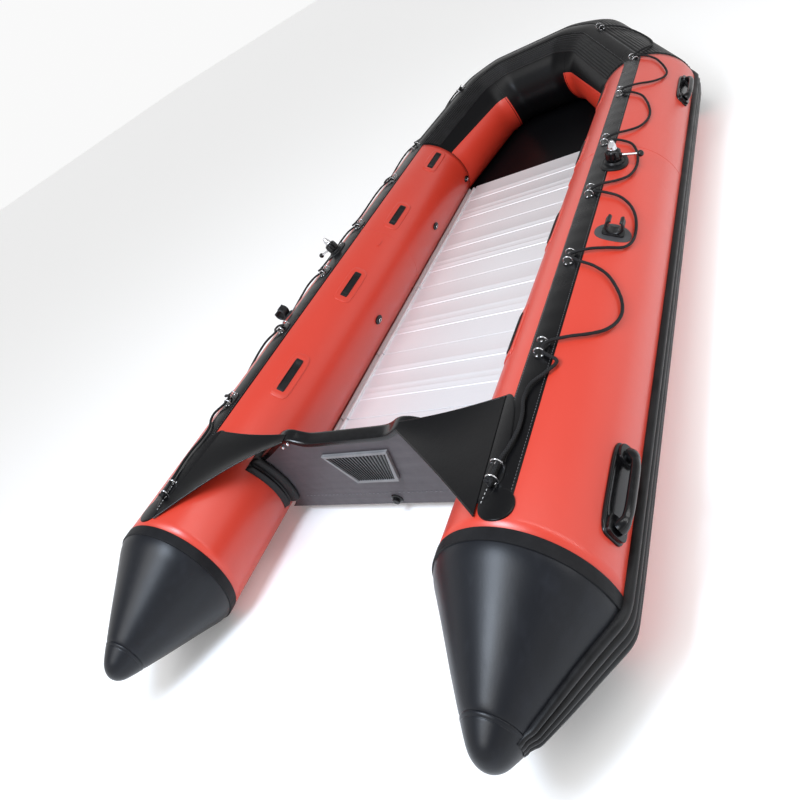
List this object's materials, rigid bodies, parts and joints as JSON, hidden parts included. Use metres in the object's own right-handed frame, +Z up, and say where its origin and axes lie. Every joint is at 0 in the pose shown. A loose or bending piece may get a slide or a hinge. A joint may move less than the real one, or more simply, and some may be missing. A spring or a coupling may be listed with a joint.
{
  "type": "inflatable rowing boat",
  "caption": "Inflatable rowing boat with red side tubes, a black bow and stern cones, a ribbed aluminium floor, a transom for a motor, pin rowlocks and looped lifelines.",
  "frame": {"origin": "on the ground under the middle of the boat's overall length and width", "axes": "+X to the bow, +Y to port, +Z up"},
  "size_m": [4.4651, 1.9864, 0.6233],
  "materials": {
    "red_coated_fabric": "satin coated fabric",
    "black_coated_fabric": "satin coated fabric",
    "moulded_rubber": "smooth moulded",
    "ribbed_rubber": "ribbed, matte",
    "transom_laminate": "covered board",
    "motor_plate_plastic": "ribbed",
    "gloss_black_plastic": "polished",
    "clip_plastic": "moulded",
    "floor_aluminium": "ribbed extrusion",
    "black_rope": "braided",
    "stainless_steel": "polished",
    "grey_fabric": "satin coated fabric"
  },
  "bodies": {
    "hull": {"port_tube": "red_coated_fabric", "starboard_tube": "red_coated_fabric", "bow_tube": "black_coated_fabric", "port_end_cone": "moulded_rubber", "starboard_end_cone": "moulded_rubber", "port_rub_strake": "ribbed_rubber", "port_line_strip": "black_coated_fabric", "starboard_rub_strake": "ribbed_rubber", "starboard_line_strip": "black_coated_fabric", "bow_rub_strake": "ribbed_rubber", "bow_line_strip": "black_coated_fabric", "transom_board": "transom_laminate", "motor_plate_outer": "motor_plate_plastic", "motor_plate_inner": "motor_plate_plastic", "drain_plug": "gloss_black_plastic", "port_transom_holder": "moulded_rubber", "port_transom_gusset": "black_coated_fabric", "starboard_transom_holder": "moulded_rubber", "starboard_transom_gusset": "black_coated_fabric", "floor_panel_1": "floor_aluminium", "floor_panel_2": "floor_aluminium", "floor_panel_3": "floor_aluminium", "floor_panel_4": "floor_aluminium", "floor_panel_5": "floor_aluminium", "port_floor_stringer": "floor_aluminium", "starboard_floor_stringer": "floor_aluminium", "hull_bottom": "black_coated_fabric", "port_rowlock_base": "moulded_rubber", "port_oar_clip": "clip_plastic", "port_aft_handle": "moulded_rubber", "port_forward_handle": "moulded_rubber", "port_seat_pad_1": "red_coated_fabric", "port_seat_pad_2": "red_coated_fabric", "port_seat_pad_3": "red_coated_fabric", "port_seat_pad_4": "red_coated_fabric", "port_air_valve": "gloss_black_plastic", "port_lifeline": "black_rope", "starboard_rowlock_base": "moulded_rubber", "starboard_oar_clip": "clip_plastic", "starboard_aft_handle": "moulded_rubber", "starboard_forward_handle": "moulded_rubber", "starboard_seat_pad_1": "red_coated_fabric", "starboard_seat_pad_2": "red_coated_fabric", "starboard_seat_pad_3": "red_coated_fabric", "starboard_seat_pad_4": "red_coated_fabric", "starboard_air_valve": "gloss_black_plastic", "starboard_lifeline": "black_rope"},
    "port_rowlock": {"port_rowlock_swivel": "gloss_black_plastic"},
    "starboard_rowlock": {"starboard_rowlock_swivel": "gloss_black_plastic"}
  },
  "joints": [
    {"name": "port_rowlock_turn", "type": "hinge", "parent": "hull", "child": "port_rowlock", "pos_m": [0.01235, 0.78115, 0.4707], "axis": [0, 0.2756, 0.9613], "continuous": true},
    {"name": "starboard_rowlock_turn", "type": "hinge", "parent": "hull", "child": "starboard_rowlock", "pos_m": [0.01235, -0.78115, 0.4707], "axis": [0, -0.2756, 0.9613], "continuous": true}
  ]
}
